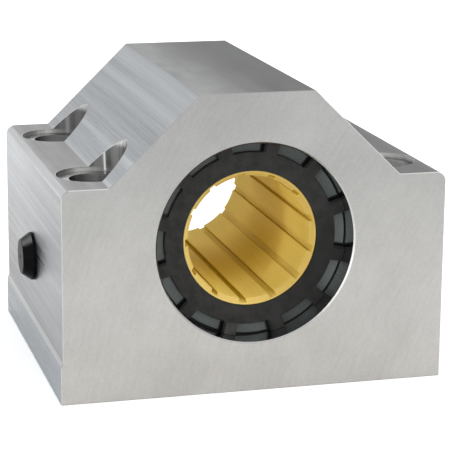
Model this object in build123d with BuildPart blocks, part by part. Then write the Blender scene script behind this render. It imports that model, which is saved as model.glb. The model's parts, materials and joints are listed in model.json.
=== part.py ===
from build123d import *
import os

# Linear bearing block, closed type, for a 25 mm shaft.
# Millimetres. The origin is on the shaft axis, halfway along the block.
# The shaft runs along Y, +Z is up, and the front end face looks towards -Y.

# Housing profile
housing_length = 67.0
housing_width = 78.0
axis_height = 30.0
crown_rise = 30.0
crown_width = 22.9
shoulder_rise = 12.6
shoulder_ledge = 9.7
datum_step = 0.4
datum_bevel = 0.9
datum_foot = 7.7
shoulder_radius = 2.0
root_radius = 0.6
crown_radius = 0.3
end_chamfer = 0.15

# Housing bore
bore_diameter = 40.0
bore_chamfer = 0.3

# Mounting holes, each with a flat seat for the screw head
hole_spacing_x = 60.0
hole_spacing_y = 40.0
hole_diameter = 9.0
seat_diameter = 14.0
seat_depth = 0.85
hole_chamfer = 0.5

# Lubrication port in the left side face
port_height = 21.4
port_diameter = 6.8
port_depth = 9.0
channel_diameter = 3.0

# Bearing body: a ring whose ends are notched between ribs
bearing_length = 58.0
bearing_clearance = 0.05
hub_diameter = 35.0
rib_count = 12
rib_width = 3.0
rib_angle = 17.3
notch_depth = 1.0
notch_fall = 0.3
hub_chamfer = 0.15

# Sliding liner: pads with straight channels between them
shaft_diameter = 25.0
liner_diameter = 27.2
liner_clearance = 0.1
liner_recess = 0.3
liner_web = 0.35
channel_count = 13
channel_width = 1.4
channel_angle = 15.1
pad_lead = 1.0

# Port plug
plug_clearance = 0.05
plug_head_diameter = 10.0
plug_rim = 0.6
plug_height = 2.6
plug_tip_diameter = 7.2
plug_edge_radius = 0.25
plug_shank_length = 6.0
plug_shank_taper = 0.3
dimple_diameter = 0.9
dimple_depth = 0.35

# Sizes worked out from those above
half_length = housing_length / 2
half_width = housing_width / 2
side_x = half_width - datum_step
ledge_x = half_width - shoulder_ledge
crown_x = crown_width / 2
foot_top = datum_foot - axis_height
seat_rise = shoulder_rise - seat_depth
port_centre = (-side_x, 0, port_height - axis_height)
bearing_half = bearing_length / 2
bearing_radius = bore_diameter / 2 - bearing_clearance
hub_radius = hub_diameter / 2
notch_floor = bearing_half - notch_depth - notch_fall
liner_radius = liner_diameter / 2
liner_half = bearing_half - liner_recess
pad_radius = shaft_diameter / 2
channel_radius = liner_radius - liner_web

os.makedirs("parts", exist_ok=True)


# Housing: an extruded bar with sloping flanks, sawn to length and bored
with BuildPart() as housing:
    with BuildSketch(Plane.XZ) as profile:
        with BuildLine():
            Polyline(
                (-half_width, -axis_height),
                (half_width, -axis_height),
                (half_width, shoulder_rise),
                (ledge_x, shoulder_rise),
                (crown_x, crown_rise),
                (-crown_x, crown_rise),
                (-ledge_x, shoulder_rise),
                (-side_x, shoulder_rise),
                (-side_x, foot_top + datum_bevel),
                (-half_width, foot_top),
                close=True,
            )
        make_face()
        shoulder = profile.vertices().group_by(Axis.Y)[-2].sort_by(Axis.X)
        fillet([shoulder[0], shoulder[-1]], radius=shoulder_radius)
        shoulder = profile.vertices().group_by(Axis.Y)[-2].sort_by(Axis.X)
        fillet(shoulder[1:3], radius=root_radius)
        fillet(profile.vertices().group_by(Axis.Y)[-1], radius=crown_radius)
    extrude(amount=half_length, both=True)
    ends = housing.faces().filter_by(Axis.Y)
    chamfer(ends.edges(), length=end_chamfer)

    # Housing bore, from end to end
    with Locations(Plane.XZ.offset(half_length)):
        Hole(radius=bore_diameter / 2)
    mouths = housing.faces().filter_by(Axis.Y).edges().filter_by(GeomType.CIRCLE)
    chamfer(mouths.filter_by(lambda e: e.radius > bore_diameter / 4), length=bore_chamfer)

    # Screw holes: the seat cutter runs down past the flank and skims the shoulder
    with Locations((0, 0, crown_rise)):
        with GridLocations(hole_spacing_x, hole_spacing_y, 2, 2):
            CounterBoreHole(
                radius=hole_diameter / 2,
                counter_bore_radius=seat_diameter / 2,
                counter_bore_depth=crown_rise - seat_rise,
                depth=crown_rise + axis_height,
            )
    screw_mouths = housing.faces().sort_by(Axis.Z)[0].edges().filter_by(GeomType.CIRCLE)
    chamfer(screw_mouths, length=hole_chamfer)

    # Lubrication port with its feed channel into the bore
    with Locations(Plane(origin=port_centre, x_dir=(0, -1, 0), z_dir=(-1, 0, 0))):
        CounterBoreHole(
            radius=channel_diameter / 2,
            counter_bore_radius=port_diameter / 2,
            counter_bore_depth=port_depth,
            depth=side_x,
        )


# Bearing body: the hub stands proud of a ring of notches, ribs reach the bore
with BuildPart() as bearing_body:
    with BuildSketch(Plane.XY):
        with BuildLine():
            Polyline(
                (liner_radius + liner_clearance, 0),
                (liner_radius + liner_clearance, -bearing_half),
                (hub_radius - hub_chamfer, -bearing_half),
                (hub_radius, -bearing_half + hub_chamfer),
                (hub_radius, -notch_floor - notch_fall),
                (bearing_radius, -notch_floor),
                (bearing_radius, 0),
                close=True,
            )
        make_face()
    revolve(axis=Axis.Y)
    with BuildSketch(Plane.XZ.offset(notch_floor)):
        with PolarLocations((hub_radius + bearing_radius) / 2, rib_count, start_angle=rib_angle):
            Rectangle(bearing_radius - hub_radius + rib_width, rib_width)
        Circle(bearing_radius, mode=Mode.INTERSECT)
        Circle(hub_radius - hub_chamfer, mode=Mode.SUBTRACT)
    extrude(amount=bearing_half - notch_floor)
    mirror(about=Plane.XZ)


# Sliding liner: a thin sleeve, bevelled inside its ends and grooved along its bore
with BuildPart() as liner:
    with BuildSketch(Plane.XY):
        with BuildLine():
            Polyline(
                (pad_radius, 0),
                (pad_radius, liner_half - pad_lead),
                (channel_radius, liner_half),
                (liner_radius, liner_half),
                (liner_radius, 0),
                close=True,
            )
        make_face()
        mirror(about=Plane.XZ)
    revolve(axis=Axis.Y)
    with BuildSketch(Plane.XZ.offset(-liner_half)):
        with PolarLocations((pad_radius + channel_radius) / 2, channel_count, start_angle=channel_angle):
            Rectangle(channel_radius - pad_radius + channel_width, channel_width)
        Circle(channel_radius, mode=Mode.INTERSECT)
    extrude(amount=2 * liner_half, mode=Mode.SUBTRACT)


# Port plug: a push-in cap with a conical head
with BuildPart() as port_plug:
    with BuildSketch(Plane(origin=port_centre, x_dir=(0, -1, 0), z_dir=(0, 0, -1))) as plug_profile:
        shank_radius = port_diameter / 2 - plug_clearance
        with BuildLine():
            Polyline(
                (0, -plug_shank_length),
                (shank_radius - plug_shank_taper, -plug_shank_length),
                (shank_radius, 0),
                (plug_head_diameter / 2, 0),
                (plug_head_diameter / 2, plug_rim),
                (plug_tip_diameter / 2, plug_height),
                (dimple_diameter / 2, plug_height),
                (0, plug_height - dimple_depth),
                close=True,
            )
        make_face()
        tip_rim = plug_profile.vertices().group_by(Axis.Y)[-1].sort_by(Axis.X)[-1]
        fillet(tip_rim, radius=plug_edge_radius)
    revolve(axis=Axis(port_centre, (-1, 0, 0)))


housing.part.label = "housing"
export_step(housing.part, "parts/housing.step")
bearing_body.part.label = "bearing_body"
export_step(bearing_body.part, "parts/bearing_body.step")
liner.part.label = "liner"
export_step(liner.part, "parts/liner.step")
port_plug.part.label = "port_plug"
export_step(port_plug.part, "parts/port_plug.step")
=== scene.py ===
import json
from math import cos, pi, radians, sin

import bpy
from mathutils import Matrix, Vector


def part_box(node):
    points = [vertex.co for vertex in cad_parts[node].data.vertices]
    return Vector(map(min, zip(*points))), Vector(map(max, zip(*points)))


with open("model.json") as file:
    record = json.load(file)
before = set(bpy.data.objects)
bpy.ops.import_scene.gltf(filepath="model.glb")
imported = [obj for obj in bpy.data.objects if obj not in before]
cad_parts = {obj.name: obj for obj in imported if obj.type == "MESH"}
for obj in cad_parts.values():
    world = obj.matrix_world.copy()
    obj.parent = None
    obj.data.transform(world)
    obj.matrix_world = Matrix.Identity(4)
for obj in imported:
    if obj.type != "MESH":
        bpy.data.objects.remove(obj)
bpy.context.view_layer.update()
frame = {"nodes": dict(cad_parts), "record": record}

# A linear bearing block on a white studio floor. Places in the materials are in
# millimetres, in the part's own frame: the shaft runs along Y, and +Z is up.

nodes = frame["nodes"]
mounts = {mount["name"]: mount for mount in frame["record"]["mounts"]}
MM = 0.001

# Camera: in front of the block, to its left and a little above it
LENS = 150.66
CAMERA_YAW = 15.331
CAMERA_PITCH = 13.984
CAMERA_ROLL = 0.492
CAMERA_AIM = Vector((0, -9.78, -1.89)) * MM
CAMERA_DISTANCE = 389.97 * MM

# Light: a direction is the one in which the light travels, and an angle is the lamp's width
WORLD_LIGHT = 0.92
WORLD_SEEN = 1.0
KEY_DIRECTION = (0.35, 0.50, -0.80)
KEY_STRENGTH = 0.25
KEY_ANGLE = 90
FILL_DIRECTION = (-0.75, 0.45, -0.45)
FILL_STRENGTH = 0.3
FILL_ANGLE = 80
SPARK_DIRECTION = (0.72, 0.50, -0.05)
SPARK_STRENGTH = 0.4
SPARK_ANGLE = 4
FLOOR_SIZE = 6.0
FLOOR_GAP = 0.01 * MM
FLOOR_COLOUR = (0.92, 0.92, 0.92, 1)
FLOOR_SEEN = (1.40, 1.40, 1.40, 1)

# Places on the block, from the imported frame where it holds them
low, high = (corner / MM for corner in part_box("housing"))
holes = mounts["mounting_holes"]["dims"]
CROWN_Z = high.z
SHOULDER_Z = 12.6
SEAT_Z = 11.75
FOOT_Z = -22.3
BORE_RADIUS = 20.0
HOLE_X = holes["spacing_x_mm"] / 2
HOLE_Y = holes["spacing_y_mm"] / 2
HOLE_RADIUS = holes["hole_r_mm"]
SEAT_RADIUS = 7.0
SHAFT_RADIUS = mounts["shaft_bore"]["dims"]["r_mm"]
HUB_RADIUS = 17.5
RIB_COUNT = 12
RIB_ANGLE = 17.3
RIB_HALF = 1.5
END_OF_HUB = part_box("bearing_body")[1].y / MM

# Widths of the soft changes at an edge
HAIR = 0.02
SLIVER = 0.1

# Spans that a noise from zero to one seldom leaves: the narrower one gives more contrast
NOISE_SPAN = (0.3, 0.7)
CONTRAST_SPAN = (0.35, 0.65)


def grey(level, warmth=0.0):
    """A near-neutral colour: above zero warmth is yellowish, below it is bluish."""
    return (level * (1 + warmth), level, level * (1 - warmth), 1)


class Finish:
    """One procedural material, with short calls for the nodes that the finishes share."""

    def __init__(self, name):
        self.material = bpy.data.materials.new(name)
        self.material.use_nodes = True
        self.tree = self.material.node_tree
        self.tree.nodes.clear()
        output = self.node("ShaderNodeOutputMaterial")
        self.surface = self.node("ShaderNodeBsdfPrincipled")
        self.tree.links.new(self.surface.outputs["BSDF"], output.inputs["Surface"])
        place = self.node("ShaderNodeTexCoord").outputs["Object"]
        self.place = self.vector("SCALE", place, scale=1 / MM)
        self.x, self.y, self.z = self.split(self.place)
        facing = self.node("ShaderNodeNewGeometry").outputs["True Normal"]
        self.nx, self.ny, self.nz = self.split(facing)
        self.axis_distance = self.size(self.x, self.z)

    def node(self, kind, **settings):
        made = self.tree.nodes.new(kind)
        for key, value in settings.items():
            setattr(made, key, value)
        return made

    def feed(self, socket, value):
        """Links a node's output to the socket, or sets a plain value on it."""
        if isinstance(value, bpy.types.NodeSocket):
            self.tree.links.new(value, socket)
        else:
            socket.default_value = value

    def set(self, name, value):
        self.feed(self.surface.inputs[name], value)

    def split(self, vector):
        made = self.node("ShaderNodeSeparateXYZ")
        self.feed(made.inputs[0], vector)
        return made.outputs[0], made.outputs[1], made.outputs[2]

    def join(self, x, y, z):
        made = self.node("ShaderNodeCombineXYZ")
        for socket, value in zip(made.inputs, (x, y, z)):
            self.feed(socket, value)
        return made.outputs[0]

    def vector(self, operation, *values, scale=None):
        made = self.node("ShaderNodeVectorMath", operation=operation)
        for socket, value in zip(made.inputs, values):
            self.feed(socket, value)
        if scale is not None:
            self.feed(made.inputs["Scale"], scale)
        return made.outputs["Vector"]

    def math(self, operation, *values):
        made = self.node("ShaderNodeMath", operation=operation)
        for socket, value in zip(made.inputs, values):
            self.feed(socket, value)
        return made.outputs[0]

    def chain(self, operation, first, *others):
        result = first
        for value in others:
            result = self.math(operation, result, value)
        return result

    def add(self, *values):
        return self.chain("ADD", *values)

    def less(self, value, amount):
        return self.math("SUBTRACT", value, amount)

    def times(self, *values):
        return self.chain("MULTIPLY", *values)

    def most(self, *values):
        """The largest of the values."""
        return self.chain("MAXIMUM", *values)

    def unsigned(self, value):
        return self.math("ABSOLUTE", value)

    def rest(self, mask):
        """One where the mask is zero, and zero where it is one."""
        return self.math("SUBTRACT", 1.0, mask)

    def size(self, a, b):
        """The length of a vector with the two components."""
        return self.math("SQRT", self.add(self.times(a, a), self.times(b, b)))

    def toward(self, angle):
        """One where a place lies at this angle around the shaft, and minus one on the far side of it."""
        across = self.times(self.x, cos(radians(angle)))
        upward = self.times(self.z, sin(radians(angle)))
        return self.math("DIVIDE", self.add(across, upward), self.axis_distance)

    def ramp(self, value, start, end, low=0.0, high=1.0):
        """Goes smoothly from low to high while the value goes from start to end."""
        made = self.node("ShaderNodeMapRange", interpolation_type="SMOOTHSTEP")
        for socket, entry in zip(made.inputs, (value, start, end, low, high)):
            self.feed(socket, entry)
        return made.outputs[0]

    def fade(self, value, start, end):
        """One up to the start, and zero from the end on."""
        return self.ramp(value, start, end, 1.0, 0.0)

    def within(self, value, start, end, soft=HAIR):
        """One between start and end, and zero outside."""
        rise = self.ramp(value, start - soft, start + soft)
        return self.times(rise, self.fade(value, end - soft, end + soft))

    def mix(self, factor, first, second):
        """A blend of two colours."""
        made = self.node("ShaderNodeMix", data_type="RGBA")
        self.feed(made.inputs["Factor"], factor)
        self.feed(made.inputs[6], first)
        self.feed(made.inputs[7], second)
        return made.outputs[2]

    def blend(self, factor, first, second):
        """A blend of two numbers."""
        made = self.node("ShaderNodeMix", data_type="FLOAT")
        self.feed(made.inputs["Factor"], factor)
        self.feed(made.inputs[2], first)
        self.feed(made.inputs[3], second)
        return made.outputs[0]

    def noise(self, place, scale, detail=2.0, roughness=0.5):
        """Noise from zero to one, with a half as its middle."""
        made = self.node("ShaderNodeTexNoise")
        self.feed(made.inputs["Vector"], place)
        self.feed(made.inputs["Scale"], scale)
        self.feed(made.inputs["Detail"], detail)
        self.feed(made.inputs["Roughness"], roughness)
        return made.outputs["Fac"]

    def sway(self, noise, amount, span=NOISE_SPAN):
        """The noise as a change between minus the amount and plus it."""
        return self.ramp(noise, *span, -amount, amount)

    def tint(self, colour, shade):
        """The colour made lighter or darker by the shade, around one."""
        made = self.node("ShaderNodeVectorMath", operation="SCALE")
        self.feed(made.inputs[0], colour[:3] if isinstance(colour, tuple) else colour)
        self.feed(made.inputs["Scale"], shade)
        return made.outputs["Vector"]

    def relief(self, height, depth):
        """Bumps of the height, a zero-to-one value, times a depth in millimetres."""
        made = self.node("ShaderNodeBump")
        self.feed(made.inputs["Distance"], depth * MM)
        self.feed(made.inputs["Height"], height)
        self.set("Normal", made.outputs["Normal"])


# The housing's zones: parts of a normal, then heights and other places
TURNED = (0.85, 0.95)
ASKEW = (0.2, 0.3)
SLOPING = (0.2, 0.93)
EDGE_ASKEW = (0.3, 0.95)
CROWN_START = (CROWN_Z - 2.0, CROWN_Z - 1.0)
ROUND_HEIGHTS = (SHOULDER_Z - 2.5, SHOULDER_Z)
SHOULDER_HEIGHTS = (SEAT_Z + 0.3, SHOULDER_Z + 1.0)
SEAT_HEIGHTS = (SEAT_Z - 0.3, SEAT_Z + 0.3)
FOOT_BEVEL_TOP = (FOOT_Z + 1.5, FOOT_Z + 2.0)
RIM_SPAN = (SEAT_RADIUS + SLIVER, SEAT_RADIUS + 0.3)
REAR_SPAN = (-1.0, 2.0)
BORE_SKIN = 0.06
MOUTH_SPAN = (BORE_RADIUS + 1.0, BORE_RADIUS + 2.0)
HOLE_SPAN = (HOLE_RADIUS + 0.5, HOLE_RADIUS + 1.5)
OUTER_SPAN = (-2.0, 2.0)
ACROSS = (-20.0, 20.0)
ALONG = (-33.0, 33.0)

# The housing's marks and its painted reflection: each noise has its fineness, detail and roughness
BAND_NOISE = (0.30, 2.0)
BAND_DEPTHS = (-0.10, 0.08)
BANDS_ON_FLANKS = 2.2
LINE_NOISE = (2.2, 4.0, 0.7)
LINE_STRETCH = 0.012
LINE_DEPTH = 0.10
SMEAR_NOISE = (1.0, 1.0)
CALM_SHARE = 0.55
PATCH_NOISE = (0.25, 4.0, 0.6)
PATCH_STRETCH = 0.35
PATCH_DEPTH = 0.05
PATCHES_ON_CROWN = 2.0
SAW_X = 140.0
SAW_Z = -65.0
ARC_NOISE = (1.4, 4.0, 0.65)
ARC_DRIFT = 0.12
CLOUD_NOISE = (0.09, 3.0)
SPECK_NOISE = (2.4, 2.0)
SAW_DEPTH = 0.03
RING_NOISE = (3.0, 3.0)
RING_DEPTH = 0.06
SHEEN_NOISE = (0.7, 2.0)
SHEEN_STRETCH = 0.05
SHEEN_HEIGHTS = (SHOULDER_Z - 0.2, SHOULDER_Z + 0.6)
SHEEN_DEPTHS = (0.10, 0.28)
METAL_RELIEF = 0.03
FINE_SHARE = 0.15
RING_SHARE = 0.3

# Base levels of the housing's end faces, and the places between which a level changes: painted shade
# darkens them towards the crown, and painted light lifts their upper right
END_HEIGHTS = (-20.0, 40.0)
END_LEVELS = (0.588, 0.42)
END_LIGHTER = 0.05
END_LIGHTER_X = (-4.0, 14.0)
END_LIGHTER_Z = (14.0, 24.0)
END_HUE_HEIGHTS = (-25.0, 20.0)
LOW_END_HUE = (1.022, 1.0, 0.955, 1)
HIGH_END_HUE = (1.0, 1.0, 0.977, 1)

# Base levels of its extruded faces, with painted shade that changes them by height, along their length
# and across the block
SIDE_HUE = grey(1.0, -0.035)
SIDE_HEIGHTS = (-24.0, 0.0)
SIDE_LEVELS = (0.355, 0.44)
SIDE_TOP_HEIGHTS = (3.0, 9.0)
SIDE_TOP_LIGHTER = 0.07
SIDE_SLANT_HEIGHTS = (-20.0, 8.0)
SIDE_SLANTS = (-0.12, 0.21)
FOOT_HUE = grey(1.0, -0.07)
FOOT_LEVELS = (0.45, 0.40)
FLANK_HUE = grey(1.0, -0.05)
FLANK_HEIGHTS = (14.0, 28.0)
FLANK_LEVELS = (0.51, 0.40)
ROUND_COLOUR = grey(0.58, -0.02)
FOOT_BEVEL_COLOUR = grey(0.55, -0.01)
CROWN_HUE = (0.98, 1.0, 0.99, 1)
CROWN_PLACES = (-13.0, 5.0)
CROWN_LEVELS = (0.64, 0.28)
SHOULDER_PLACES = (-30.0, 30.0)
SHOULDER_LEVELS = (0.62, 0.35)

# Base levels of its screw seats and of the walls around them: a lighter part adds its value, and is
# painted light
SEAT_HUE = grey(1.0, 0.01)
SEAT_LEVEL = 0.34
SEAT_OUTER_LIGHTER = 0.28
SEAT_REAR_LIGHTER = 0.46
SEAT_REAR_SPAN = (-1.5, 1.5)
WALL_HUE = (0.985, 1.0, 0.975, 1)
WALL_LEVEL = 0.23
WALL_LOW_HEIGHTS = (SHOULDER_Z - 0.2, SHOULDER_Z + 0.2)
WALL_OUTER_LIGHTER = 0.40
WALL_MIDDLE_LIGHTER = 0.35
WALL_MIDDLE = (-2.0, 3.0, 2.5)
WALL_TIP_HEIGHTS = (16.8, 18.4)
WALL_TIP_LIGHTER = 0.65
LIP_HEIGHTS = (SHOULDER_Z - 0.5, SHOULDER_Z - 0.3)
LIP_LEVELS = (0.78, 1.0)
IN_HOLE_LEVELS = (0.36, 0.88)

# Base levels of its bore and edges: painted shade on the edges that face up and left and by the crown, a
# painted highlight on the right of the bore's mouth with painted shade at its upper left, and a painted
# highlight on the rims behind the screw seats
BORE_COLOUR = grey(0.62)
EDGE_COLOUR = grey(0.62, 0.01)
UPPER_EDGE_SHADE = grey(0.36)
UPPER_EDGE_NX = (-0.3, -0.1)
UPPER_EDGE_NZ = (0.1, 0.3)
MOUTH_NX = (-0.6, -0.35)
MOUTH_HIGHLIGHT_LEVELS = (0.78, 0.46)
MOUTH_SHADE = (0.1, 0.4)
MOUTH_SHADE_LEVEL = 0.10
RIM_HIGHLIGHT_COLOUR = grey(0.85)

# Its gloss: how much of a glancing reflection each face keeps, and how rough it is; the weaker glance of
# some faces is painted shade
END_GLANCE = 0.8
SIDE_GLANCE = 1.0
TOP_GLANCE = 0.45
LIP_GLANCE = 1.0
END_ROUGH = 0.46
EXTRUDED_ROUGH = 0.32
SIDE_SMOOTHER = 0.01
SMEAR_DEPTH = 0.05
SEAT_ROUGH = 0.22
WALL_ROUGH_PLACES = (-5.0, 5.0)
WALL_ROUGH = (0.30, 0.52)
RIGHT_WALL_ROUGH = 0.60
BORE_ROUGH = 0.07
MARK_ROUGH = 0.2
EXTRUDED_GROOVES = 0.5
GROOVES_ACROSS = (0.02, 0.0, 1.0)


class HousingMetal(Finish):
    """Sawn and extruded aluminium, with the finish that each face of the block has, and painted light
    and shade on its faces.
    """

    def __init__(self):
        super().__init__("housing_metal")
        self.find_places()
        self.find_faces()
        self.draw_marks_and_sheen()
        colour = self.colour_ends()
        colour = self.colour_extrusion(colour)
        colour = self.colour_seats(colour)
        colour = self.colour_hole_walls(colour)
        colour = self.mix(self.bore, colour, BORE_COLOUR)
        colour = self.colour_edges(colour)
        self.set("Base Color", self.tint(colour, self.add(1.0, self.marks_and_sheen)))
        self.set("Metallic", 1.0)
        self.set_gloss()

    def find_places(self):
        """Where a place lies against the nearest screw hole and across the block."""
        self.hole_x = self.less(self.unsigned(self.x), HOLE_X)
        hole_y = self.less(self.unsigned(self.y), HOLE_Y)
        self.hole_distance = self.size(self.hole_x, hole_y)
        self.behind = self.less(self.y, self.times(self.math("SIGN", self.y), HOLE_Y))
        self.outer = self.ramp(self.hole_x, *OUTER_SPAN)
        self.leftward = self.fade(self.x, *ACROSS)
        self.rightward = self.rest(self.leftward)
        self.below_flank = self.fade(self.z, SHOULDER_Z - SLIVER, SHOULDER_Z + SLIVER)
        self.near_crown = self.ramp(self.z, *CROWN_START)

    def find_faces(self):
        """A mask for each kind of face, from its direction and its place."""
        end_facing = self.unsigned(self.ny)
        side_facing = self.unsigned(self.nx)
        self.upward = self.ramp(self.nz, *TURNED)
        at_hole = self.fade(self.hole_distance, SEAT_RADIUS + HAIR, SEAT_RADIUS + SLIVER)
        off_hole = self.rest(at_hole)

        self.sides = self.times(self.ramp(side_facing, *TURNED), off_hole)
        self.foot = self.times(self.sides, self.fade(self.z, FOOT_Z, FOOT_Z + SLIVER))
        sloping = self.times(self.within(self.nz, *SLOPING), off_hole, self.fade(end_facing, *ASKEW))
        self.flanks = self.times(sloping, self.ramp(self.z, SHOULDER_Z, SHOULDER_Z + SLIVER))
        self.rounds = self.times(sloping, self.within(self.z, *ROUND_HEIGHTS))
        self.foot_bevel = self.times(sloping, self.fade(self.z, *FOOT_BEVEL_TOP))
        self.crown = self.times(self.upward, self.near_crown)
        self.shoulders = self.times(self.upward, self.within(self.z, *SHOULDER_HEIGHTS))
        self.seats = self.times(self.upward, self.within(self.z, *SEAT_HEIGHTS))
        self.hole_walls = self.times(at_hole, self.fade(self.nz, *ASKEW))
        self.rear_rims = self.times(self.within(self.hole_distance, *RIM_SPAN),
                                    self.ramp(self.behind, *REAR_SPAN))
        self.bore = self.fade(self.axis_distance, BORE_RADIUS + HAIR, BORE_RADIUS + BORE_SKIN)
        self.edges = self.times(self.within(end_facing, *EDGE_ASKEW), off_hole)
        self.tops = self.most(self.crown, self.shoulders)
        self.extruded = self.most(self.sides, sloping, self.tops)
        self.at_tool = self.most(self.seats, self.hole_walls)

    def draw_marks_and_sheen(self):
        """What each tool has left on its faces, and a painted reflection on the hole walls, as a change
        of the base colour.
        """
        specks = self.sway(self.noise(self.place, *SPECK_NOISE), SAW_DEPTH)

        # Bands and fine lines of the extrusion, along Y
        along = self.join(self.x, self.times(self.y, LINE_STRETCH), self.z)
        self.lines = self.noise(along, *LINE_NOISE)
        self.smears = self.sway(self.noise(along, *SMEAR_NOISE), SMEAR_DEPTH)
        bands = self.ramp(self.noise(along, *BAND_NOISE), *CONTRAST_SPAN, *BAND_DEPTHS)
        bands = self.times(bands, self.blend(self.flanks, 1.0, BANDS_ON_FLANKS))
        streak = self.add(bands, self.sway(self.lines, LINE_DEPTH))

        # The crown, the shoulders and the sides have calmer lines, with faint patches among them
        drawn = self.join(self.x, self.times(self.y, PATCH_STRETCH), self.z)
        patches = self.sway(self.noise(drawn, *PATCH_NOISE), PATCH_DEPTH)
        mottled = self.times(self.add(patches, specks), self.blend(self.crown, 1.0, PATCHES_ON_CROWN))
        calm = self.add(self.times(streak, CALM_SHARE), mottled)
        streak = self.blend(self.add(self.tops, self.sides), streak, calm)

        # Arcs left by the saw on the end faces, with cloudy patches and specks
        saw = self.size(self.less(self.x, SAW_X), self.less(self.z, SAW_Z))
        self.arcs = self.noise(self.join(saw, self.times(self.z, ARC_DRIFT), 0.0), *ARC_NOISE)
        cloud = self.sway(self.noise(self.place, *CLOUD_NOISE), SAW_DEPTH, CONTRAST_SPAN)
        sawn = self.add(self.sway(self.arcs, SAW_DEPTH), cloud, specks)

        # Rings left by the cutter in the screw seats and holes, and on the hole walls a painted
        # reflection in bands that change around them
        turn = self.join(self.times(self.hole_distance, self.upward), 0.0, self.z)
        self.rings = self.noise(turn, *RING_NOISE)
        painted_sheen = self.noise(self.join(self.x, self.y, self.times(self.z, SHEEN_STRETCH)), *SHEEN_NOISE)
        sheen_depth = self.ramp(self.z, *SHEEN_HEIGHTS, *SHEEN_DEPTHS)
        painted_sheen = self.times(self.hole_walls, self.sway(painted_sheen, 1.0, CONTRAST_SPAN), sheen_depth)
        rings_and_sheen = self.add(self.sway(self.rings, RING_DEPTH), painted_sheen)

        self.marks_and_sheen = self.blend(self.at_tool, self.blend(self.extruded, sawn, streak), rings_and_sheen)

    def colour_ends(self):
        """Painted shade: the end faces grow darker towards the crown, less so on its right, where
        painted light lifts them.
        """
        lighter = self.times(self.ramp(self.x, *END_LIGHTER_X), self.ramp(self.z, *END_LIGHTER_Z))
        level = self.add(self.ramp(self.z, *END_HEIGHTS, *END_LEVELS), self.times(lighter, END_LIGHTER))
        hue = self.mix(self.ramp(self.z, *END_HUE_HEIGHTS), LOW_END_HUE, HIGH_END_HUE)
        return self.tint(hue, level)

    def colour_extrusion(self, colour):
        # Painted shade: the sides are darker towards the foot and lighter near their top, the sides and
        # the foot change along their length, the flanks grow darker upwards, and the crown and the
        # shoulders grow darker towards the right
        slant = self.times(self.ramp(self.y, *ALONG, -0.5, 0.5),
                           self.ramp(self.z, *SIDE_SLANT_HEIGHTS, *SIDE_SLANTS))
        side_level = self.add(self.ramp(self.z, *SIDE_HEIGHTS, *SIDE_LEVELS),
                              self.ramp(self.z, *SIDE_TOP_HEIGHTS, 0.0, SIDE_TOP_LIGHTER),
                              slant)
        colour = self.mix(self.sides, colour, self.tint(SIDE_HUE, side_level))
        foot_level = self.ramp(self.y, *ALONG, *FOOT_LEVELS)
        colour = self.mix(self.foot, colour, self.tint(FOOT_HUE, foot_level))
        flank_level = self.ramp(self.z, *FLANK_HEIGHTS, *FLANK_LEVELS)
        colour = self.mix(self.flanks, colour, self.tint(FLANK_HUE, flank_level))
        colour = self.mix(self.rounds, colour, ROUND_COLOUR)
        colour = self.mix(self.foot_bevel, colour, FOOT_BEVEL_COLOUR)
        crown_level = self.ramp(self.x, *CROWN_PLACES, *CROWN_LEVELS)
        colour = self.mix(self.crown, colour, self.tint(CROWN_HUE, crown_level))
        shoulder_level = self.ramp(self.x, *SHOULDER_PLACES, *SHOULDER_LEVELS)
        return self.mix(self.shoulders, colour, self.tint(grey(1.0), shoulder_level))

    def colour_seats(self, colour):
        """Painted light: the left seats are lighter at their outer sides, and the right ones at their
        rear.
        """
        outer = self.times(self.leftward, self.outer, SEAT_OUTER_LIGHTER)
        rear = self.times(self.rightward, self.ramp(self.behind, *SEAT_REAR_SPAN), SEAT_REAR_LIGHTER)
        return self.mix(self.seats, colour, self.tint(SEAT_HUE, self.add(SEAT_LEVEL, outer, rear)))

    def colour_hole_walls(self, colour):
        """Walls cut into the flanks, the low lips around the seats, and the insides of the holes, with
        painted light: lighter low walls, a painted highlight at the tips, lighter lips on the right, and
        hole insides lighter towards the right.
        """
        middle = self.within(self.hole_x, *WALL_MIDDLE)
        low_wall = self.add(self.times(self.outer, WALL_OUTER_LIGHTER),
                            self.times(middle, WALL_MIDDLE_LIGHTER))
        low_wall = self.times(self.fade(self.z, *WALL_LOW_HEIGHTS), low_wall)
        tip = self.ramp(self.z, *WALL_TIP_HEIGHTS, 0.0, WALL_TIP_LIGHTER)
        level = self.add(WALL_LEVEL, low_wall, tip)
        lip_level = self.ramp(self.z, *LIP_HEIGHTS, *LIP_LEVELS)
        level = self.blend(self.times(self.rightward, self.below_flank), level, lip_level)
        in_hole = self.ramp(self.x, *ACROSS, *IN_HOLE_LEVELS)
        level = self.blend(self.ramp(self.hole_distance, *HOLE_SPAN), in_hole, level)
        return self.mix(self.hole_walls, colour, self.tint(WALL_HUE, level))

    def colour_edges(self, colour):
        """Chamfers of the end faces and the bore, with painted shade and a painted highlight, and a
        painted highlight on the rims behind the screw seats.
        """
        # Painted shade on the edges that face up and left, and on the upward edges by the crown
        upper = self.most(self.fade(self.nx, *UPPER_EDGE_NX), self.near_crown)
        upper = self.times(upper, self.ramp(self.nz, *UPPER_EDGE_NZ))
        edge_colour = self.mix(upper, EDGE_COLOUR, UPPER_EDGE_SHADE)
        # The bore's mouth: a painted highlight on its right, dimmer towards the bottom, and painted
        # shade at its upper left
        lit_level = self.ramp(self.nx, *MOUTH_NX, *MOUTH_HIGHLIGHT_LEVELS)
        shade_side = self.less(self.nx, self.nz)
        mouth_level = self.ramp(shade_side, *MOUTH_SHADE, lit_level, MOUTH_SHADE_LEVEL)
        mouth = self.fade(self.axis_distance, *MOUTH_SPAN)
        edge_colour = self.mix(mouth, edge_colour, self.tint(grey(1.0), mouth_level))
        colour = self.mix(self.edges, colour, edge_colour)
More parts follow.
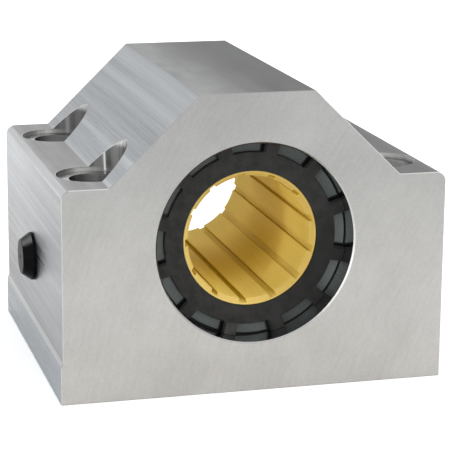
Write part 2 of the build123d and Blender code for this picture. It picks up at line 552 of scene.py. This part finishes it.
        # A painted highlight along the rims behind the screw seats, on the flanks and the shoulders
        rim_highlight = self.times(self.rear_rims, self.most(self.flanks, self.shoulders))
        return self.mix(rim_highlight, colour, RIM_HIGHLIGHT_COLOUR)

    def set_gloss(self):
        # Painted shade: the tops, the hole walls and the right seats keep less of their glancing
        # reflection, and the right lips keep all of it
        shaded_glance = self.add(self.tops, self.hole_walls, self.times(self.seats, self.rightward))
        glance = self.blend(shaded_glance, self.blend(self.sides, END_GLANCE, SIDE_GLANCE), TOP_GLANCE)
        lips = self.times(self.hole_walls, self.rightward, self.below_flank)
        glance = self.blend(lips, glance, LIP_GLANCE)
        self.set("Specular Tint", self.join(glance, glance, glance))

        side_change = self.times(self.sides, self.add(self.smears, -SIDE_SMOOTHER))
        rough = self.blend(self.extruded, END_ROUGH, self.add(EXTRUDED_ROUGH, side_change))
        left_wall_rough = self.ramp(self.y, *WALL_ROUGH_PLACES, *WALL_ROUGH)
        wall_rough = self.blend(self.rightward, left_wall_rough, RIGHT_WALL_ROUGH)
        rough = self.blend(self.at_tool, rough, self.blend(self.hole_walls, SEAT_ROUGH, wall_rough))
        rough = self.blend(self.bore, rough, BORE_ROUGH)
        self.set("Roughness", self.add(rough, self.times(self.marks_and_sheen, MARK_ROUGH)))

        # Fine grooves spread a reflection across them: they run along Y, and around each hole
        self.set("Anisotropic", self.most(self.times(self.extruded, EXTRUDED_GROOVES), self.hole_walls))
        self.set("Tangent", self.join(*GROOVES_ACROSS))
        fine = self.times(self.blend(self.extruded, self.arcs, self.lines), FINE_SHARE)
        self.relief(self.blend(self.at_tool, fine, self.times(self.rings, RING_SHARE)), METAL_RELIEF)


# The bearing body's zones and colours. The changes of tone around the shaft are painted light and shade:
# each has its angle, the values of toward between which it comes in, and the factor that it reaches.
NOTCH_DROP = (0.6, 0.5)
FLOOR_FACING = (0.6, 0.8)
RIB_SIDE_START = 0.55
RIB_SIDE_END = 0.5
RIB_SIDE_SOFT = 0.06
LEAN_ANGLE = 45
LEAN_SPAN = (0.25, 0.6)
RIM_PLACES = (-10.0, 10.0)
RIM_RADII = (19.45, 19.7)
RING_COLOURS = (grey(0.014, 0.03), grey(0.028, 0.05))
FACE_SHADE = (-25, 0.6, 0.95, 0.55)
LIT_RIB = (257, 0.94, 0.99, 2.2)
NOTCH_COLOUR = (0.115, 0.132, 0.126, 1)
LOW_RIGHT_NOTCH = (-60, 0.93, 0.98, 0.62)
RIGHT_NOTCH = (-10, 0.90, 0.98, 1.25)
TOP_NOTCHES = (77, 0.80, 0.95, 0.85)
LEFT_NOTCHES = (200, 0.50, 0.90, 1.15)
CORNER_SHADE_COLOUR = grey(0.003)
RING_GRAIN_NOISE = (5.0, 3.0)
RING_CLOUD_NOISE = (0.45, 4.0, 0.6)
RING_GRAIN = (0.85, 1.15)
RING_ROUGH = (0.40, 0.52)
RING_SPECULAR = 0.25
RING_RELIEF = 0.01


class BearingPlastic(Finish):
    """Satin black moulding; the notches have greyish floors, with painted shade on their walls and in
    their corners, and painted light and shade around the shaft.
    """

    def __init__(self):
        super().__init__("bearing_plastic")
        end_facing = self.unsigned(self.ny)
        notch = self.ramp(self.axis_distance, HUB_RADIUS + HAIR, HUB_RADIUS + 3 * HAIR)
        below = self.fade(self.unsigned(self.y), *(END_OF_HUB - drop for drop in NOTCH_DROP))
        floors = self.times(notch, below, self.ramp(end_facing, *FLOOR_FACING))
        walls = self.times(notch, self.fade(end_facing, *ASKEW))
        corners = self.most(self.beside_ribs(notch), self.beside_bore(floors), walls)

        grain = self.noise(self.place, *RING_GRAIN_NOISE)
        cloud = self.ramp(self.noise(self.place, *RING_CLOUD_NOISE), *NOISE_SPAN)
        # Painted shade on the right of the face, painted light on the lower ribs, and painted light and
        # shade on the notch floors by their place around the shaft
        face_level = self.times(self.change(*FACE_SHADE), self.blend(notch, 1.0, self.change(*LIT_RIB)))
        colour = self.tint(self.mix(cloud, *RING_COLOURS), face_level)
        floor_level = self.times(self.change(*LOW_RIGHT_NOTCH), self.change(*RIGHT_NOTCH),
                                 self.change(*TOP_NOTCHES), self.change(*LEFT_NOTCHES))
        colour = self.mix(floors, colour, self.tint(NOTCH_COLOUR, floor_level))
        # Painted shade: near black on the notch walls and in the corners beside the ribs and the bore
        colour = self.mix(corners, colour, CORNER_SHADE_COLOUR)
        self.set("Base Color", self.tint(colour, self.ramp(grain, *NOISE_SPAN, *RING_GRAIN)))
        self.set("Roughness", self.ramp(grain, *NOISE_SPAN, *RING_ROUGH))
        self.set("Specular IOR Level", RING_SPECULAR)
        self.relief(grain, RING_RELIEF)

    def change(self, angle, start, end, level):
        """One, but the level around an angle; start and end are values of toward."""
        return self.ramp(self.toward(angle), start, end, 1.0, level)

    def beside_ribs(self, notch):
        """Painted shade in the corners beside the ribs, on the sides that face up and left."""
        turn = self.less(self.math("ARCTAN2", self.z, self.x), radians(RIB_ANGLE))
        turn = self.times(turn, RIB_COUNT / (2 * pi))
        turn = self.less(turn, self.math("ROUND", turn))
        from_rib = self.math("SINE", self.times(turn, 2 * pi / RIB_COUNT))
        from_rib = self.times(self.axis_distance, from_rib)
        lean = self.toward(LEAN_ANGLE)
        from_rib = self.times(from_rib, self.math("SIGN", lean))
        beside = self.within(from_rib, RIB_HALF - RIB_SIDE_START, RIB_HALF + RIB_SIDE_END, RIB_SIDE_SOFT)
        return self.times(beside, notch, self.ramp(self.unsigned(lean), *LEAN_SPAN))

    def beside_bore(self, floors):
        """Painted shade in the corners of the notch floors along the housing's bore, wider on the left.
        """
        start = self.ramp(self.x, *RIM_PLACES, *RIM_RADII)
        return self.times(floors, self.ramp(self.less(self.axis_distance, start), 0.0, SLIVER))


# The liner's zones, by depth and by angle around the shaft, and its colours; the zones carry painted
# shade, and the ends painted light and shade
CHANNEL_SPAN = (SHAFT_RADIUS + 0.05, SHAFT_RADIUS + 0.15)
CHANNEL_WALL_SPAN = (SHAFT_RADIUS + 0.6, SHAFT_RADIUS + 0.7)
LINER_END_FACING = (0.3, 0.5)
LINER_COLOURS = ((0.96, 0.75, 0.19, 1), (0.99, 0.80, 0.23, 1))
LINER_CLOUD_NOISE = (0.2, 2.0)
LINER_LINE_NOISE = (2.2, 3.0)
LINER_LINE_STRETCH = 0.05
LINER_LINES = (0.98, 1.02)
LINER_RELIEF = 0.005
LINER_ROUGH = 0.6
LINER_SPECULAR = 0.1
LINER_SPECULAR_TINT = (1.0, 0.80, 0.35, 1)
LOW_MOUTH_SHADE_COLOUR = (0.80, 0.61, 0.14, 1)
LOW_MOUTH_SHADE_ANGLE = -30
LOW_MOUTH_SHADE_SPAN = (0.2, 0.9)
LOW_MOUTH_SHADE_DEPTHS = (3.0, 15.0)
MIDDLE_SHADE_COLOUR = (0.74, 0.53, 0.03, 1)
MIDDLE_SHADE_ANGLE = -66
MIDDLE_SHADE_SPAN = (0.45, 0.95)
MIDDLE_SHADE_PLACES = (-12.0, 8.0, 9.0)
CHANNEL_WALL_SHADE = (0.60, 0.42, 0.06, 1)
LEFT_CHANNEL_SHADE_COLOUR = (0.62, 0.44, 0.03, 1)
LEFT_CHANNEL_SHADE_ANGLE = 222
LEFT_CHANNEL_SHADE_SPAN = (-0.1, 0.75)
LEFT_CHANNEL_SHADE_DEPTHS = (2.0, 5.0)
LIP_COLOURS = ((0.68, 0.48, 0.13, 1), (0.86, 0.64, 0.20, 1))
LIP_ANGLE = 220
LIP_SPAN = (0.0, 0.8)


class LinerPlastic(Finish):
    """Smooth yellow sliding plastic, with fine lines along the bore, painted shade on its lower side and
    in its channels, and painted light and shade on its ends.
    """

    def __init__(self):
        super().__init__("liner_plastic")
        from_mouth = self.less(END_OF_HUB, self.unsigned(self.y))
        channels = self.ramp(self.axis_distance, *CHANNEL_SPAN)
        walls = self.times(channels, self.fade(self.axis_distance, *CHANNEL_WALL_SPAN))
        ends = self.ramp(self.unsigned(self.ny), *LINER_END_FACING)
        # Painted shade in the channels of the lower left, from a few millimetres inside the mouths
        channel_shade = self.times(channels, self.ramp(self.toward(LEFT_CHANNEL_SHADE_ANGLE), *LEFT_CHANNEL_SHADE_SPAN),
                           self.ramp(from_mouth, *LEFT_CHANNEL_SHADE_DEPTHS))
        # Painted shade on the lower side: olive in the middle of its length and darker towards the
        # mouths
        middle_shade = self.times(self.ramp(self.toward(MIDDLE_SHADE_ANGLE), *MIDDLE_SHADE_SPAN),
                          self.within(self.y, *MIDDLE_SHADE_PLACES))
        low_mouth_shade = self.times(self.ramp(self.toward(LOW_MOUTH_SHADE_ANGLE), *LOW_MOUTH_SHADE_SPAN),
                          self.fade(from_mouth, *LOW_MOUTH_SHADE_DEPTHS))

        colour = self.mix(self.noise(self.place, *LINER_CLOUD_NOISE), *LINER_COLOURS)
        colour = self.mix(low_mouth_shade, colour, LOW_MOUTH_SHADE_COLOUR)
        colour = self.mix(middle_shade, colour, MIDDLE_SHADE_COLOUR)
        # Painted shade on the channel walls
        colour = self.mix(walls, colour, CHANNEL_WALL_SHADE)
        colour = self.mix(channel_shade, colour, LEFT_CHANNEL_SHADE_COLOUR)
        # Painted light and shade on the ends: lighter towards the lower left, darker on the other half
        lip = self.mix(self.ramp(self.toward(LIP_ANGLE), *LIP_SPAN), *LIP_COLOURS)
        colour = self.mix(ends, colour, lip)
        along = self.join(self.x, self.times(self.y, LINER_LINE_STRETCH), self.z)
        lines = self.noise(along, *LINER_LINE_NOISE)
        self.set("Base Color", self.tint(colour, self.ramp(lines, *NOISE_SPAN, *LINER_LINES)))
        self.set("Roughness", LINER_ROUGH)
        self.set("Specular IOR Level", LINER_SPECULAR)
        self.set("Specular Tint", LINER_SPECULAR_TINT)
        self.relief(lines, LINER_RELIEF)


# The plug's zones, by parts of the normal, and its colours, with a painted highlight on the cone's upper
# left
TIP_NX = (-0.97, -0.9)
CONE_HIGHLIGHT_NZ = (0.62, 0.77, 0.07)
CONE_HIGHLIGHT_NX = (-0.4, -0.3)
PLUG_COLOURS = (grey(0.002), grey(0.004, 0.02))
CONE_HIGHLIGHT_COLOUR = grey(0.05)
TIP_COLOUR = grey(0.02)
PLUG_GRAIN_NOISE = (3.0, 2.0)
PLUG_ROUGH = (0.08, 0.12)
TIP_ROUGH = 0.34
PLUG_SPECULAR = (0.05, 0.95)
PLUG_RELIEF = 0.006


class PlugPlastic(Finish):
    """Glossy black moulding with faint swirls, a painted highlight on its cone, and a rougher tip."""

    def __init__(self):
        super().__init__("plug_plastic")
        tip = self.fade(self.nx, *TIP_NX)
        cone_highlight = self.times(self.within(self.nz, *CONE_HIGHLIGHT_NZ), self.fade(self.nx, *CONE_HIGHLIGHT_NX))
        grain = self.noise(self.place, *PLUG_GRAIN_NOISE)
        colour = self.mix(grain, *PLUG_COLOURS)
        colour = self.mix(cone_highlight, colour, CONE_HIGHLIGHT_COLOUR)
        colour = self.mix(tip, colour, TIP_COLOUR)
        self.set("Base Color", colour)
        self.set("Roughness", self.blend(tip, self.ramp(grain, *NOISE_SPAN, *PLUG_ROUGH), TIP_ROUGH))
        self.set("Specular IOR Level", self.ramp(cone_highlight, 0.0, 1.0, *PLUG_SPECULAR))
        self.relief(grain, PLUG_RELIEF)


def place_in_scene(thing):
    bpy.context.scene.collection.objects.link(thing)


def add_camera():
    data = bpy.data.cameras.new("camera")
    data.lens = LENS
    camera = bpy.data.objects.new("camera", data)
    place_in_scene(camera)
    turn = (Matrix.Rotation(radians(-CAMERA_YAW), 4, "Z")
            @ Matrix.Rotation(radians(90 - CAMERA_PITCH), 4, "X")
            @ Matrix.Rotation(radians(CAMERA_ROLL), 4, "Z"))
    back = turn @ Vector((0, 0, 1))
    camera.matrix_world = Matrix.Translation(CAMERA_AIM + back * CAMERA_DISTANCE) @ turn
    bpy.context.scene.camera = camera


def add_sun(name, direction, strength, angle):
    data = bpy.data.lights.new(name, "SUN")
    data.energy = strength
    data.angle = radians(angle)
    lamp = bpy.data.objects.new(name, data)
    place_in_scene(lamp)
    lamp.rotation_euler = Vector(direction).to_track_quat("-Z", "Y").to_euler()


def add_world():
    """White where it is seen or mirrored, and softer as a source of light."""
    world = bpy.data.worlds.new("studio")
    world.use_nodes = True
    tree = world.node_tree
    background = tree.nodes["Background"]
    background.inputs["Color"].default_value = (1, 1, 1, 1)
    path = tree.nodes.new("ShaderNodeLightPath")
    seen = path.outputs["Is Camera Ray"]
    for kind in ("Is Glossy Ray", "Is Transmission Ray"):
        either = tree.nodes.new("ShaderNodeMath")
        either.operation = "MAXIMUM"
        tree.links.new(seen, either.inputs[0])
        tree.links.new(path.outputs[kind], either.inputs[1])
        seen = either.outputs[0]
    strength = tree.nodes.new("ShaderNodeMapRange")
    strength.inputs["To Min"].default_value = WORLD_LIGHT
    strength.inputs["To Max"].default_value = WORLD_SEEN
    tree.links.new(seen, strength.inputs["Value"])
    tree.links.new(strength.outputs[0], background.inputs["Strength"])
    bpy.context.scene.world = world


def add_floor():
    """A pale floor that looks white and keeps the block's shadow."""
    half = FLOOR_SIZE / 2
    z = low.z * MM - FLOOR_GAP
    corners = [(-half, -half, z), (half, -half, z), (half, half, z), (-half, half, z)]
    mesh = bpy.data.meshes.new("floor")
    mesh.from_pydata(corners, [], [(0, 1, 2, 3)])
    floor = bpy.data.objects.new("floor", mesh)
    place_in_scene(floor)
    material = bpy.data.materials.new("floor")
    material.use_nodes = True
    tree = material.node_tree
    tree.nodes.clear()
    output = tree.nodes.new("ShaderNodeOutputMaterial")
    diffuse = tree.nodes.new("ShaderNodeBsdfDiffuse")
    path = tree.nodes.new("ShaderNodeLightPath")
    colour = tree.nodes.new("ShaderNodeMix")
    colour.data_type = "RGBA"
    colour.inputs[6].default_value = FLOOR_COLOUR
    colour.inputs[7].default_value = FLOOR_SEEN
    tree.links.new(path.outputs["Is Camera Ray"], colour.inputs["Factor"])
    tree.links.new(colour.outputs[2], diffuse.inputs["Color"])
    tree.links.new(diffuse.outputs[0], output.inputs["Surface"])
    mesh.materials.append(material)


def dress(node, finish):
    """Gives a piece of the frame its finish."""
    slots = nodes[node].data.materials
    slots.clear()
    slots.append(finish.material)


dress("housing", HousingMetal())
dress("bearing_body", BearingPlastic())
dress("liner", LinerPlastic())
dress("port_plug", PlugPlastic())
add_camera()
add_sun("key", KEY_DIRECTION, KEY_STRENGTH, KEY_ANGLE)
add_sun("fill", FILL_DIRECTION, FILL_STRENGTH, FILL_ANGLE)
add_sun("spark", SPARK_DIRECTION, SPARK_STRENGTH, SPARK_ANGLE)
add_world()
add_floor()
bpy.context.scene.view_settings.view_transform = "Standard"
